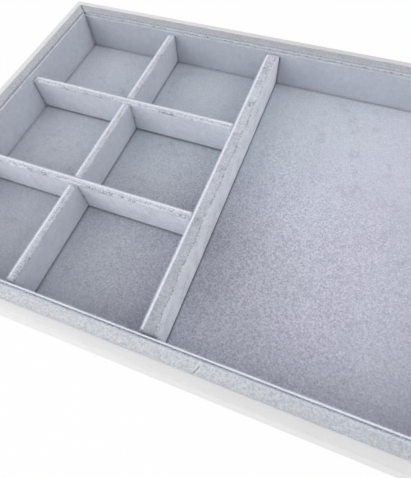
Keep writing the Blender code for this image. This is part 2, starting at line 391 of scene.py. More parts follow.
def leather_material(name, shade_ovals):
    """White leatherette with a fine pebble grain, a little greyer where hands and boxes rub it, with painted
    shade in the grain's valleys and in broad ovals.

    Each oval of painted shade has a centre, a reach and a depth.
    """
    leather = bpy.context.scene.tray_leather
    look, tree, place = bare_material(name)
    settings = {"voronoi_dimensions": "3D", "feature": "DISTANCE_TO_EDGE"}
    bent = place + grain(place, leather.grain_size * 3, 2, "Color") * leather.grain_size
    values = {"Vector": bent, "Scale": 1 / leather.grain_size, "Randomness": 0.9}
    pebble = (Wire.node(tree, "ShaderNodeTexVoronoi", settings, values, "Distance") * 5).clamped()
    cloud = lumps(place, leather.cloud_size, detail=3, gain=1.5)
    rub = lumps(place, leather.rub_size, detail=4, gain=2.5)
    worn_and_shaded = mark(tree, "edge") * rub * leather.wear
    # Broad ovals of painted shade on the rim.
    for centre, reach, depth in shade_ovals:
        worn_and_shaded = worn_and_shaded + oval_share(place, centre, reach) * depth
    aged = mix_colours(cloud * 0.35, leather.colour, leather.shade_colour)
    # Painted shade in the grain's valleys.
    grain_shaded = mix_colours((1 - pebble) * 0.35, aged, leather.shade_colour)
    finish_material(tree, {
        "Base Color": mix_colours(worn_and_shaded.clamped(), grain_shaded, leather.wear_and_shade_colour),
        "Roughness": cloud * 0.08 + (1 - pebble) * 0.08 + 0.3,
        "Specular IOR Level": 0.5,
    }, pebble * 0.8 + rub * 0.2, leather.grain_relief)
    return look


def board_material(name, colour, fleck_colour, fibre_size, roughness, relief):
    """Pressed fibres: light flecks in a darker ground."""
    look, tree, place = bare_material(name)
    drawn = Wire.node(tree, "ShaderNodeMapping", {"vector_type": "TEXTURE"},
                      {"Vector": place, "Scale": (3.0, 1.0, 0.6)})
    fibre = lumps(drawn, fibre_size, detail=4, gain=2.2)
    cloud = lumps(place, fibre_size * 12, detail=2, gain=1.4)
    flecked = mix_colours(fibre * 0.7 + cloud * 0.3, colour, fleck_colour)
    finish_material(tree, {"Base Color": flecked, "Roughness": fibre * 0.1 + roughness}, fibre, relief)
    return look


def new_tree(name, inputs):
    """A geometry node tree with one geometry output and the named inputs, each with its kind."""
    tree = bpy.data.node_groups.new(name, "GeometryNodeTree")
    tree.interface.new_socket("Geometry", in_out="OUTPUT", socket_type="NodeSocketGeometry")
    for label, kind in inputs.items():
        tree.interface.new_socket(label, in_out="INPUT", socket_type="NodeSocket" + kind)
    return tree, Wire.node(tree, "NodeGroupInput")


def end_tree(tree, shape, look):
    """Realizes, sets the material and ends the tree."""
    real = Wire.node(tree, "GeometryNodeRealizeInstances", None, {"Geometry": shape})
    dressed = Wire.node(tree, "GeometryNodeSetMaterial", None, {"Geometry": real, "Material": look})
    Wire.node(tree, "NodeGroupOutput", None, {0: dressed})
    return tree


def board_marks(source, outward, reach, half_flat, side):
    """Where a board gets its painted highlight, its dark partings and its fringe.

    The edges to the back left get a painted highlight, for the sheen seen along them, and the others dark
    partings, partly bare ground and partly painted shade. The Highlight input adds to the highlight or takes
    it away. The fringe is thickest on the highlighted edges.
    """
    up = split(outward)[2]
    wide, deep, tall = split(outward.maths("ABSOLUTE"))
    bend = ((1 - wide.maths("MAXIMUM", deep).maths("MAXIMUM", tall)) * BEND_GAIN).clamped()
    margin_x, margin_y, _ = split(1 - (half_flat - reach).maths("MAXIMUM", 0).maths("MINIMUM", 1))
    side_x, side_y, _ = split(side)
    # The lean picks the edges with a painted highlight; the others get painted shade in their partings.
    lean = (margin_y * side_y - margin_x * side_x) * HIGHLIGHT_SIDE_SHARE
    highlighted = ((lean * 3 + 0.5).clamped() + source.beside("Highlight")).clamped()
    band = margin_x.maths("MAXIMUM", margin_y) * up.maths("GREATER_THAN", LEVEL)
    return {
        "lip": band * highlighted,
        "edge": band * (1 - highlighted),
        "fringe": bend * up.maths("GREATER_THAN", -LEVEL) * (highlighted * 0.75 + 0.25),
        "upright": 1 - tall,
    }


def wrapped_board_tree():
    """A board wrapped in cloth: a fine box whose edges are rounded and whose faces roll a little."""
    tree, source = new_tree("wrapped_board", {
        "Low": "Vector", "High": "Vector", "Radius": "Float", "Foot Radius": "Float", "Spacing": "Float",
        "Steps": "Int", "Roll": "Float", "Roll Size": "Float", "Seed": "Float", "Highlight": "Float",
        "Material": "Material",
    })
    low, high, radius, foot, spacing, steps = (
        source.beside(label) for label in ("Low", "High", "Radius", "Foot Radius", "Spacing", "Steps"))
    size = high - low
    flat_count = ((size - radius * 2) / spacing).maths("CEIL")
    count = flat_count + steps * 2
    count_x, count_y, count_z = split(count)
    box = Wire.node(tree, "GeometryNodeMeshCube", None, {
        "Size": even(2), "Vertices X": count_x + 1, "Vertices Y": count_y + 1, "Vertices Z": count_z + 1,
    }, "Mesh")

    place = Wire.node(tree, "GeometryNodeInputPosition")
    side = place.maths("SIGN")
    reach = place.maths("ABSOLUTE") * (count * 0.5)
    half_flat = flat_count * 0.5
    upper = split(side)[2].maths("GREATER_THAN", 0)
    radii = combined(radius, radius, foot + (radius - foot) * upper)
    core = reach.maths("MINIMUM", half_flat) / half_flat * (size * 0.5 - radii)
    turn = (reach - half_flat).maths("MAXIMUM", 0) * (1 / (steps * (4 / pi)))
    outward = (turn.maths("TANGENT") * side).maths("NORMALIZE")
    settled = core * side + (high + low) * 0.5
    where = settled * (1 / source.beside("Roll Size")) + combined(source.beside("Seed"))
    roll = Wire.node(tree, "ShaderNodeTexNoise", None, {"Vector": where, "Scale": 1.0, "Detail": 1.0}, "Fac")
    final = settled + outward * radii + outward * ((roll - 0.5) * 2 * source.beside("Roll"))

    marked = box
    for label, value in board_marks(source, outward, reach, half_flat, side).items():
        marked = Wire.node(tree, "GeometryNodeStoreNamedAttribute", {"data_type": "FLOAT", "domain": "POINT"},
                           {"Geometry": marked, "Name": label, "Value": value})
    moved = Wire.node(tree, "GeometryNodeSetPosition", None, {"Geometry": marked, "Position": final})
    smooth = Wire.node(tree, "GeometryNodeSetShadeSmooth", None, {"Geometry": moved})
    return end_tree(tree, smooth, source.beside("Material"))


def fringe_tree():
    """Pile standing out along the edges: a fine tapered fibre on each of many points, leaning at random."""
    tree, source = new_tree("pile_fringe", {
        "Board": "Geometry", "Density": "Float", "Length": "Float", "Width": "Float", "Lean": "Float",
        "Seed": "Int", "Material": "Material",
    })
    seed, lean = source.beside("Seed"), source.beside("Lean")
    share = Wire.node(tree, "GeometryNodeInputNamedAttribute", {"data_type": "FLOAT"}, {"Name": "fringe"},
                      "Attribute")
    points = Wire.node(tree, "GeometryNodeDistributePointsOnFaces", None, {
        "Mesh": source.beside("Board"), "Density": source.beside("Density") * share, "Seed": seed,
    }, "Points")
    fibre = Wire.node(tree, "GeometryNodeMeshCone", {"fill_type": "NGON"}, {
        "Vertices": 3, "Radius Top": 0.0, "Radius Bottom": source.beside("Width") * 0.5,
        "Depth": source.beside("Length"),
    }, "Mesh")
    turn = Wire.node(tree, "FunctionNodeRandomValue", {"data_type": "FLOAT_VECTOR"},
                     {0: combined(lean * -1, lean * -1), 1: combined(lean, lean, 2 * pi), "Seed": seed}, 0)
    by = Wire.node(tree, "FunctionNodeEulerToRotation", None, {0: turn})
    way = Wire.node(tree, "FunctionNodeRotateRotation", {"rotation_space": "LOCAL"},
                    {0: points.beside("Rotation"), 1: by})
    length = Wire.node(tree, "FunctionNodeRandomValue", {"data_type": "FLOAT"},
                       {2: SHORTEST, 3: LONGEST, "Seed": seed + 1}, 1)
    placed = Wire.node(tree, "GeometryNodeInstanceOnPoints", None, {
        "Points": points, "Instance": fibre, "Rotation": way, "Scale": combined(1.0, 1.0, length),
    })
    return end_tree(tree, placed, source.beside("Material"))


def link(item):
    bpy.context.scene.collection.objects.link(item)
    return item


def settled_mesh(item):
    """Applies an object's modifiers."""
    shape = bpy.data.meshes.new_from_object(item.evaluated_get(bpy.context.evaluated_depsgraph_get()))
    item.modifiers.clear()
    item.data = shape
    return item


def grown(name, tree, values, mesh=None):
    """An object whose mesh a node tree has made."""
    item = link(bpy.data.objects.new(name, mesh or bpy.data.meshes.new(name)))
    step = item.modifiers.new(tree.name, "NODES")
    step.node_group = tree
    for socket in tree.interface.items_tree:
        if socket.in_out == "INPUT" and socket.name in values:
            step[socket.identifier] = values[socket.name]
    return settled_mesh(item)


def place_piece(item, body, slot, *nodes):
    """Rides a finished piece on its body, in the place of its CAD nodes."""
    item.data.name = item.name
    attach(item, body)
    if nodes:
        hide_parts(*nodes)


def wrapped_board(name, low, high, radius, look, seed, spacing=BOARD_SPACING, roll=0.0001, steps=4, painted_highlight=0.0):
    tree = bpy.data.node_groups.get("wrapped_board") or wrapped_board_tree()
    return grown(name, tree, {
        "Low": list(low), "High": list(high), "Radius": radius, "Foot Radius": min(radius, BOARD_FOOT),
        "Spacing": spacing, "Steps": steps, "Highlight": painted_highlight, "Roll": roll, "Roll Size": ROLL_SIZE, "Seed": seed,
        "Material": look,
    })


def fringe(name, board, body, seed):
    """The fringe of a finished board, as a piece of its own on the same body."""
    velvet = bpy.context.scene.tray_velvet
    tree = bpy.data.node_groups.get("pile_fringe") or fringe_tree()
    values = {
        "Density": velvet.fringe_density, "Length": velvet.fringe_length, "Width": velvet.fringe_width,
        "Lean": velvet.fringe_lean, "Seed": seed, "Material": fringe_material(),
    }
    place_piece(grown(name, tree, values, board.data.copy()), body, "velvet")


def place_velvet(board, body, node, fringe_name, seed):
    """Places a finished velvet piece and its fringe."""
    place_piece(board, body, "velvet", node)
    fringe(fringe_name, board, body, seed)


def carved(item, cutters):
    """Cuts boxes out of a board and removes them."""
    for cutter in cutters:
        step = item.modifiers.new("cut", "BOOLEAN")
        step.operation = "DIFFERENCE"
        step.solver = "EXACT"
        step.object = cutter
    settled_mesh(item)
    for cutter in cutters:
        bpy.data.objects.remove(cutter)
    return item


def box_cutter(name, low, high):
    shape = bmesh.new()
    bmesh.ops.create_cube(shape, size=1.0)
    low, high = Vector(low), Vector(high)
    bmesh.ops.scale(shape, vec=high - low, verts=shape.verts)
    bmesh.ops.translate(shape, vec=(low + high) / 2, verts=shape.verts)
    return mesh_object(name, shape)


def sleeve(name, low, high, look, seed, cut=()):
    """A divider's velvet sleeve: rounded along the top, cut flat at both ends and open underneath."""
    pile = bpy.context.scene.tray_velvet.pile_height
    along = Vector((0, 1, 0)) if high.y - low.y > high.x - low.x else Vector((1, 0, 0))
    across = Vector((1, 1, 0)) - along
    board = wrapped_board(name + "_sleeve", low - across * pile - along * SLEEVE_SPARE,
                          high + across * pile + along * SLEEVE_SPARE + UP * pile, SLEEVE_RADIUS, look, seed,
                          roll=SLEEVE_ROLL)
    core_low, core_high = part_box(name + "_core")
    gap = Vector((CORE_GAP, CORE_GAP, 0.0))
    hollow = box_cutter(name + "_hollow", core_low - gap - UP * OVERRUN, core_high + gap + UP * CORE_GAP)
    room = (across + UP) * OVERRUN
    length = along * (high - low).dot(along)
    ends = [box_cutter(name + "_first_end", low - along * END_CUT - room, high - length + room),
            box_cutter(name + "_last_end", low + length - room, high + along * END_CUT + room)]
    return carved(board, [hollow, *ends, *cut])


def arc(centre, level, radius, first, last, steps):
    """Points of a rounded edge, as distances in from the outer face and levels."""
    turns = [first + (last - first) * step / steps for step in range(steps + 1)]
    return [(centre + radius * cos(turn), level + radius * sin(turn)) for turn in turns]


def between(first, last, steps):
    """Points strictly between two points."""
    shares = [step / steps for step in range(1, steps)]
    return [tuple(a + (b - a) * share for a, b in zip(first, last)) for share in shares]


def wobble(place, height, size, seed):
    """A smooth random number from about minus to plus a height, over waves about size long."""
    return height * noise(Vector(place) / size + Vector([seed * share for share in SEED_WAY]))


def bridge(shape, rows):
    """Faces between each row of points and the next. Each row is a closed ring."""
    for first, second in zip(rows, rows[1:]):
        for place in range(len(first)):
            after = (place + 1) % len(first)
            shape.faces.new((first[place], first[after], second[after], second[place]))


def mesh_object(name, shape, look=None):
    mesh = bpy.data.meshes.new(name)
    shape.to_mesh(mesh)
    shape.free()
    if look:
        mesh.materials.append(look)
        mesh.shade_smooth()
    return link(bpy.data.objects.new(name, mesh))


def triple_prop(name, description, default, **more):
    return bpy.props.FloatVectorProperty(name=name, description=description, default=default, size=3, **more)


def colour_prop(name, description, default):
    return triple_prop(name, description, default, subtype="COLOR", min=0, max=1)


def number_prop(name, description, default, **more):
    return bpy.props.FloatProperty(name=name, description=description, default=default, min=0, **more)


def length_prop(name, description, default):
    return number_prop(name, description, default, unit="LENGTH")


def share_prop(name, description, default):
    return number_prop(name, description, default, max=1)


class TrayVelvet(bpy.types.PropertyGroup):
    colour: colour_prop("Pile colour", "Colour of the standing pile", (0.562, 0.589, 0.655))
    rim_colour: colour_prop("Rim colour", "Colour of the pile on the rim", (0.62, 0.637, 0.678))
    # The tip colour is also the colour of the painted highlights along the edges.
    tip_and_highlight_colour: colour_prop("Tip colour", "Colour of the pile's tips along the edges", (0.90, 0.925, 1.0))
    ground_colour: colour_prop("Ground colour", "Colour of the cloth between the tufts", (0.22, 0.24, 0.29))
    # The pressed colour is also the colour of painted contact shade.
    press_shade_colour: colour_prop("Pressed colour", "Colour of pile pressed down by a board", (0.08, 0.085, 0.10))
    warm_tint: colour_prop("Warm tint", "What broad patches of the pile are tinted with", (1.0, 0.982, 1.0))
    cool_tint: colour_prop("Cool tint", "What the patches between are tinted with", (0.983, 1.0, 0.992))
    tint_size: length_prop("Tint size", "Width of the tinted patches", 0.03)
    mottle_size: length_prop("Mottle size", "Width of the fine lumps of the pile", 0.0007)
    mottle: share_prop("Mottle", "Depth of the fine lumps", 0.58)
    brush_size: length_prop("Brush size", "Width of the broad marks in the pile", 0.014)
    brush: share_prop("Brush", "Depth of the broad marks", 0.1)
    cloud_size: length_prop("Cloud size", "Width of the soft blotches on smooth pile", 0.0028)
    cloud: share_prop("Cloud", "Depth of the soft blotches on smooth pile", 0.16)
    tuft_size: length_prop("Tuft size", "Width of the tufts that part along an edge", 0.0006)
    parting_size: length_prop("Parting size", "Length of the partings along an edge", 0.0018)
    parting_drift: length_prop("Parting drift", "Length over which the partings wander", 0.009)
    # Edge wear sets the partings' darkness, partly bare ground and partly painted shade; Lip and Lip
    # sharpness set the painted highlight.
    edge_shade: share_prop("Edge wear", "How far the ground shows along the edges", 1.0)
    lip: share_prop("Lip", "Paleness of the closed edges", 1.0)
    highlight_sharpness: number_prop("Lip sharpness", "How narrow the pale edges are", 2.2)
    # Press, Press reach and Foot reach set the marks of pressed pile and painted contact shade.
    press_shade: share_prop("Press", "Depth of the marks that the boards leave", 0.9)
    press_shade_reach: length_prop("Press reach", "How far a mark shows beside a board", 0.0013)
    foot_shade_reach: length_prop("Foot reach", "How high the flattened pile shows on a lifting board", 0.0008)
    pile_height: length_prop("Pile height", "How far the pile stands out from a divider's cloth", 0.00025)
    pile_relief: length_prop("Pile relief", "Height of the lumps of the pile", 0.00012)
    sheen: share_prop("Sheen", "Strength of the sheen", 1.0)
    sheen_roughness: share_prop("Sheen roughness", "How wide the sheen spreads", 0.4)
    sheen_colour: colour_prop("Sheen colour", "Colour of the light along the pile", (0.93, 0.95, 1.0))
    fringe_density: number_prop("Fringe density", "Fibres on a square metre of an edge", 5e7)
    fringe_length: length_prop("Fringe length", "Length of the fibres along an edge", 0.0006)
    fringe_width: length_prop("Fringe width", "Thickness of a fibre at its root", 0.00012)
    fringe_lean: number_prop("Fringe lean", "How far the fibres lean at most", 0.5, unit="ROTATION")


class TrayLeather(bpy.types.PropertyGroup):
    colour: colour_prop("Colour", "Colour of the leatherette", (0.795, 0.785, 0.795))
    # The shade colour is also painted shade in the grain's valleys; the wear colour is also the colour of
    # broad ovals of painted shade.
    shade_colour: colour_prop("Shade", "Colour in the grain's valleys", (0.67, 0.66, 0.675))
    wear_and_shade_colour: colour_prop("Wear colour", "Colour of rubbed edges", (0.55, 0.545, 0.55))
    wear: share_prop("Wear", "How far the edges are rubbed", 0.4)
    rub_size: length_prop("Rub size", "Width of the marks on a rubbed edge", 0.0025)
    cloud_size: length_prop("Cloud size", "Width of the faintly aged patches", 0.02)
    grain_size: length_prop("Grain size", "Width of a pebble of the grain", 0.0008)
    grain_relief: length_prop("Grain relief", "Height of the grain", 0.00004)
    strip: length_prop("Rim strip", "Width of leatherette on top of the rim", 0.0041)
    thickness: length_prop("Thickness", "Thickness of the leatherette", 0.0006)
    top_radius: length_prop("Top radius", "Rounding of the rim's outer edge", 0.0011)
    foot_radius: length_prop("Foot radius", "Rounding of the lower edge", 0.0009)
    corner_radius: length_prop("Corner radius", "Rounding of the upright corners", 0.0016)
    under_turn: length_prop("Under turn", "Width turned under the base", 0.012)


class TrayStage(bpy.types.PropertyGroup):
    camera_place: triple_prop("Camera place", "Where the camera stands", (0.036638, -0.099962, 0.15291),
                              subtype="TRANSLATION", unit="LENGTH")
    camera_turn: triple_prop("Camera turn", "How the camera is turned",
                             (radians(28.258), radians(2.691), radians(20.895)),
                             subtype="EULER", unit="ROTATION")
    lens: number_prop("Lens", "Focal length in millimetres", 28.155)
    sky: number_prop("Sky", "Strength of the light from all round", 0.66)
    left_power: number_prop("Left softbox", "Power of the lamp at the front left in watts", 21.0)
    right_power: number_prop("Right softbox", "Power of the lamp at the right in watts", 13.0)
    table_colour: colour_prop("Table colour", "Colour of the table", (0.9, 0.9, 0.9))


class TRAY_OT_wrap(bpy.types.Operator):
    """Makes the leatherette that runs round the outside, over the rim and under the base"""
    bl_idname = "tray.wrap"
    bl_label = "Leatherette Wrap"

    CORNER_STEPS, SPACING, MERGE = 6, 0.003, 0.000001
    # The crown of the rim, its ripples and the bulges of the walls: their height, length and seed.
    CROWN = 0.00012
    RIPPLE = (0.00005, 0.012, 3)
    BULGE = (0.00012, 0.03, 5)
    BULGE_MARGIN = 0.003
    # How far in from an edge the wear is centred, and how far it reaches. Then the ovals of painted shade on
    # the rim.
    WEAR_INSET, WEAR_REACH = 0.0003, 0.0009
    SHADE_OVALS = (((0.06, 0.09), (0.13, 0.012), 0.6), ((0.1, -0.088), (0.13, 0.012), 0.3))

    def ring(self, inset, leather):
        """The tray's outline, moved in."""
        radius = max(leather.corner_radius - inset, 0)
        x = LENGTH / 2 - inset - radius
        y = DEPTH / 2 - inset - radius
        corners = [arc(across, along, radius, quarter * pi / 2, (quarter + 1) * pi / 2, self.CORNER_STEPS)
                   for quarter, (across, along) in enumerate(((x, y), (-x, y), (-x, -y), (x, -y)))]
        points = []
        for corner, after, length in zip(corners, corners[1:] + corners[:1], (LENGTH, DEPTH) * 2):
            points += corner + between(corner[-1], after[0], ceil(length / self.SPACING))
        return points

    def section(self, leather):
        """Outer face from the turned-under end up to the rim's inner part, then back inside the thickness."""
        skin = leather.thickness
        low, top = FOOT + leather.foot_radius, RIM - leather.top_radius
        foot = arc(leather.foot_radius, low, leather.foot_radius, -pi / 2, -pi, 6)
        brow = arc(leather.top_radius, top, leather.top_radius, pi, pi / 2, 8)
        lip = arc(leather.strip - skin / 2, RIM - skin / 2, skin / 2, pi / 2, -pi / 2, 4)
        inner_brow = arc(leather.top_radius, top, leather.top_radius - skin, pi / 2, pi, 4)
        inner_foot = arc(leather.foot_radius, low, leather.foot_radius - skin, -pi, -pi / 2, 3)
        hem = arc(leather.under_turn - skin / 2, FOOT + skin / 2, skin / 2, pi / 2, -pi / 2, 4)
        outside = hem + between(hem[-1], foot[0], 5) + foot + between(foot[-1], brow[0], 10) + brow
        outside += between(brow[-1], lip[0], 7) + lip
        return outside + inner_brow + inner_foot

    def settle(self, x, y, inset, level, leather):
        """A point of the cloth: crowned and rippled on the rim, bulging a little on the walls."""
        place = Vector((x, y, level))
        if level > RIM - leather.thickness / 2 and inset > leather.top_radius / 2:
            share = (inset - leather.top_radius) / (leather.strip - leather.top_radius)
            crown = self.CROWN * max(0, 4 * share * (1 - share))
            place.z = level + (crown + wobble((x, y, level), *self.RIPPLE))
        elif self.BULGE_MARGIN < level < RIM - self.BULGE_MARGIN:
            outward = Vector((x / LENGTH, y / DEPTH))
            axis = 0 if abs(outward.x) > abs(outward.y) else 1
            push = wobble((x, y, level), *self.BULGE)
            place[axis] += push if outward[axis] > 0 else -push
        return place

    def wear_at(self, inset, level):
        """How near a point is to the rim's outer edge or to the foot, where hands and tables rub."""
        inset -= self.WEAR_INSET
        to_top = Vector((inset, level - RIM + self.WEAR_INSET)).length
        to_foot = Vector((inset, level - FOOT - self.WEAR_INSET)).length
        return max(0, 1 - min(to_top, to_foot) / self.WEAR_REACH)

    def execute(self, context):
        leather = context.scene.tray_leather
        shape = bmesh.new()
        edge = shape.verts.layers.float.new("edge")
        rings = []
        for inset, level in self.section(leather):
            wear = self.wear_at(inset, level)
            ring = [shape.verts.new(self.settle(x, y, inset, level, leather))
                    for x, y in self.ring(inset, leather)]
            for vert in ring:
                vert[edge] = wear
            rings.append(ring)
        bridge(shape, rings + rings[:1])
        bmesh.ops.remove_doubles(shape, verts=shape.verts, dist=self.MERGE)
        bmesh.ops.recalc_face_normals(shape, faces=shape.faces)
        wrap = mesh_object("leather_wrap", shape, leather_material("white_leatherette", self.SHADE_OVALS))
        place_piece(wrap, TRAY, "leatherette", "outer_wrap")
        return {"FINISHED"}


class TRAY_OT_rim(bpy.types.Operator):
    """Makes the four velvet strips on the inner part of the rim, mitred at the corners"""
    bl_idname = "tray.rim"
    bl_label = "Rim Velvet"

    # The cloth's section, from the lap over the leather to the drop inside the wall.
    SPACING = 0.0011
    START = 0.00395
    FACE = 0.00885
    DROP = 0.0094
    SKIN = 0.0006
    RADIUS = 0.0004
    RISE = 0.00024
    LAP_RADIUS = 0.00011
    MITRE_GAP = 0.0004
    FACE_DEPTHS = (0.0006, 0.0010, 0.0013, 0.0016, 0.0019, 0.0025, 0.0045, 0.0070)
    # The swell of the rim's top and the waves of its inner edge: their height, length and first seed.
    SWELL_DEPTH = 0.001
    SWELL = (0.0001, 0.009, 11)
    WAVES = (0.0001, 0.0001, 0.00027, 0.0002)
    WAVE_SIZE, WAVE_SEED = 0.005, 17
    # How far the painted highlight and partings reach from the inner edge, how far the painted shade reaches
    # from the lap, and where the back strip's dashed line of painted shadow lies.
    MARK_REACH = 0.0016
    END_REACH = 0.0006
    SHADOW_LINE = 0.0013
    SHADOW_LINE_REACH = 0.0005
    SHADOW_LINE_BREAKS = (3, 0.0025, 29)
    # The front, right, back and left strips: which get a painted highlight along the inner edge, their light
    # factors on flat and on upright faces, painted light and shade, and how dark their edges are, partly
    # painted shade.
    HIGHLIGHTED_SIDES = ("front", "right")
    LIGHT_FACTORS = (1.15, 0.95, 0.81, 0.87)
    SIDE_NAPS = (1.12, 0.95, 1.5, 1.1)
    EDGE_SHADES = (0.6, 0.6, 1.5, 0.6)
    DRIFT = 0.25
    # An oval of painted light on the front left of the rim.
    LIGHT_PATCHES = (((-0.05, -0.083), (0.12, 0.03), (1.16, 1.15, 1.11)),)
    # A fold in the front strip, drawn as painted shade and painted highlight.
    TUCK = ((0.02156, -0.08322), (0.02041, -0.08564), 0.00032)
    FRINGE_SEED = 60

    def section(self, leather_end):
        """Over the leather's end, across the rim, round its edge and down, then back inside the cloth."""
        top, skin = RIM + self.RISE, self.SKIN
        edge = arc(self.START + self.LAP_RADIUS, top - self.LAP_RADIUS, self.LAP_RADIUS, pi, pi / 2, 3)
        brow = arc(self.FACE - self.RADIUS, top - self.RADIUS, self.RADIUS, pi / 2, 0, 8)
        drop = RIM - self.DROP
        outside = edge + between(edge[-1], brow[0], 7) + brow
        outside += [(self.FACE, RIM - depth) for depth in self.FACE_DEPTHS] + [(self.FACE, drop)]
        lap = leather_end + self.LAP_RADIUS
        under = RIM + self.LAP_RADIUS / 4
        inside = [(self.FACE - skin, drop), (self.FACE - skin, top - skin * 2),
                  (self.FACE - skin * 2, top - skin), (lap, top - skin), (lap, under), (self.START, under)]
        return outside, inside

    def marks(self, side, x, inset, level):
        """The marks at a point of the cloth's outside: a painted highlight along the inner edge of the front
        and right strips; on the left strip dark partings along it, on the back strip a dashed line of painted
        shadow on its drop, and on both painted shade along the lap.
        """
        highlighted = side in self.HIGHLIGHTED_SIDES
        off = max(self.FACE - self.RADIUS - inset, RIM + self.RISE - self.RADIUS - level, 0)
        brow = max(0, 1 - off / self.MARK_REACH)
        start = max(0, 1 - Vector((inset - self.START, level - RIM)).length / self.END_REACH)
        # The back strip's dashed line of painted shadow, below the rim.
        foot = max(0, 1 - abs(RIM - self.SHADOW_LINE - level) / self.SHADOW_LINE_REACH)
        whole = 1 - min(1, abs(wobble((x, 0, 0), *self.SHADOW_LINE_BREAKS)))
        parting_shade = foot * whole * 1.1 if side == "back" else brow * 0.9
        return {
            "lip": brow if highlighted else 0,
            "edge": 0 if highlighted else max(parting_shade, start),
            "fringe": max((brow * 3 - 2) * (1 if highlighted else 0.3), start * 0.5, 0),
            "upright": 1 if level < RIM - self.RADIUS else 0,
        }

    def strip(self, index, leather_end):
        """A strip with mitred ends, drawn along the front and turned to its side."""
        length, depth = (LENGTH, DEPTH) if index % 2 == 0 else (DEPTH, LENGTH)
        turn = index * pi / 2
        outside, inside = self.section(leather_end)
        height, size, seed = self.SWELL
        shape = bmesh.new()
        labels = ("edge", "lip", "fringe", "upright")
        layers = {label: shape.verts.layers.float.new(label) for label in labels}
        count = ceil(length / self.SPACING)
        rows = []
        for step in range(count + 1):
            share = step / count
            row = []
            for place, (inset, level) in enumerate(outside + inside):
                half = length / 2 - inset - self.MITRE_GAP
                x = -half + 2 * half * share
                y = inset - depth / 2
                point = (x, inset, level)
                if place < len(outside):
                    wave = wobble(point, self.WAVES[index], self.WAVE_SIZE, self.WAVE_SEED + index)
                    y = inset + wave - depth / 2
                lift = wobble(point, height, size, seed + index) if level > RIM - self.SWELL_DEPTH else 0
                vert = shape.verts.new((x * cos(turn) - y * sin(turn), x * sin(turn) + y * cos(turn),
                                        level + lift))
                if place < len(outside):
                    for label, value in self.marks(SIDES[index], x, inset, level).items():
                        vert[layers[label]] = value
                row.append(vert)
            rows.append(row)
        bridge(shape, rows)
        shape.faces.new(rows[0])
        shape.faces.new(list(reversed(rows[-1])))
        bmesh.ops.recalc_face_normals(shape, faces=shape.faces)
        return shape

    def execute(self, context):
        for index, side in enumerate(SIDES):
            look = velvet_material(side + "_rim_pile", self.LIGHT_FACTORS[index], self.SIDE_NAPS[index],
                                   context.scene.tray_velvet.rim_colour, light_patches=self.LIGHT_PATCHES,
                                   drift=self.DRIFT, wear=self.EDGE_SHADES[index],
                                   tuck=self.TUCK if side == "front" else None)
            shape = self.strip(index, context.scene.tray_leather.strip)
            strip = mesh_object(side + "_rim_strip", shape, look)
            place_velvet(strip, TRAY, side + "_rim_velvet", side + "_rim_fringe", self.FRINGE_SEED + index)
        return {"FINISHED"}


class TRAY_OT_liners(bpy.types.Operator):
    """Makes the four velvet-covered boards inside the walls"""
    bl_idname = "tray.liners"
    bl_label = "Liners"

    # How much higher the liners but the back one are than their solids, to be flush with the rim, and how
    # much thinner the front one is. The dividers' marks of painted contact shade end a little below their
    # tops.
    FLUSH, THINNER, BELOW = 0.0014, 0.00065, 0.0015
    RADIUS, ROLL = 0.00035, 0.00014
    # Light factors on the liners' upright faces: painted light and shade.
    LIGHT_FACTORS = (0.95, 0.97, 0.98, 1.07)
    # How dark the liners' edges are: partly bare ground, partly painted shade.
    EDGE_SHADE = 0.3
    # Painted shade in the corners: how dark and how soft the marks of the neighbouring liners are.
    NEIGHBOUR_LOAD, NEIGHBOUR_SOFTNESS = 0.35, 2.2
    SEED, FRINGE_SEED = 1.0, 50

    def execute(self, context):
        boards = divider_marks(self.BELOW)
        for index, side in enumerate(SIDES):
            low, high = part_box(side + "_liner")
            if side != "back":
                high.z += self.FLUSH
            if side == "front":
                high.y -= self.THINNER
            # Painted shade in the corners, drawn as marks from the neighbouring liners.
            corner_shade_boxes = [(*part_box(SIDES[(index + step) % 4] + "_liner"), self.NEIGHBOUR_LOAD,
                           self.NEIGHBOUR_SOFTNESS) for step in (1, 3)]
            look = velvet_material(side + "_liner_pile", 1.0, self.LIGHT_FACTORS[index], marking_boxes=boards + corner_shade_boxes,
                                   wear=self.EDGE_SHADE)
            # The front liner gets a painted highlight along its top, the others none.
            board = wrapped_board(side + "_liner_board", low, high, self.RADIUS, look, self.SEED + index,
                                  roll=self.ROLL, painted_highlight=1.0 if side == "front" else -1.0)
            place_velvet(board, TRAY, side + "_liner", side + "_liner_fringe", self.FRINGE_SEED + index)
        return {"FINISHED"}


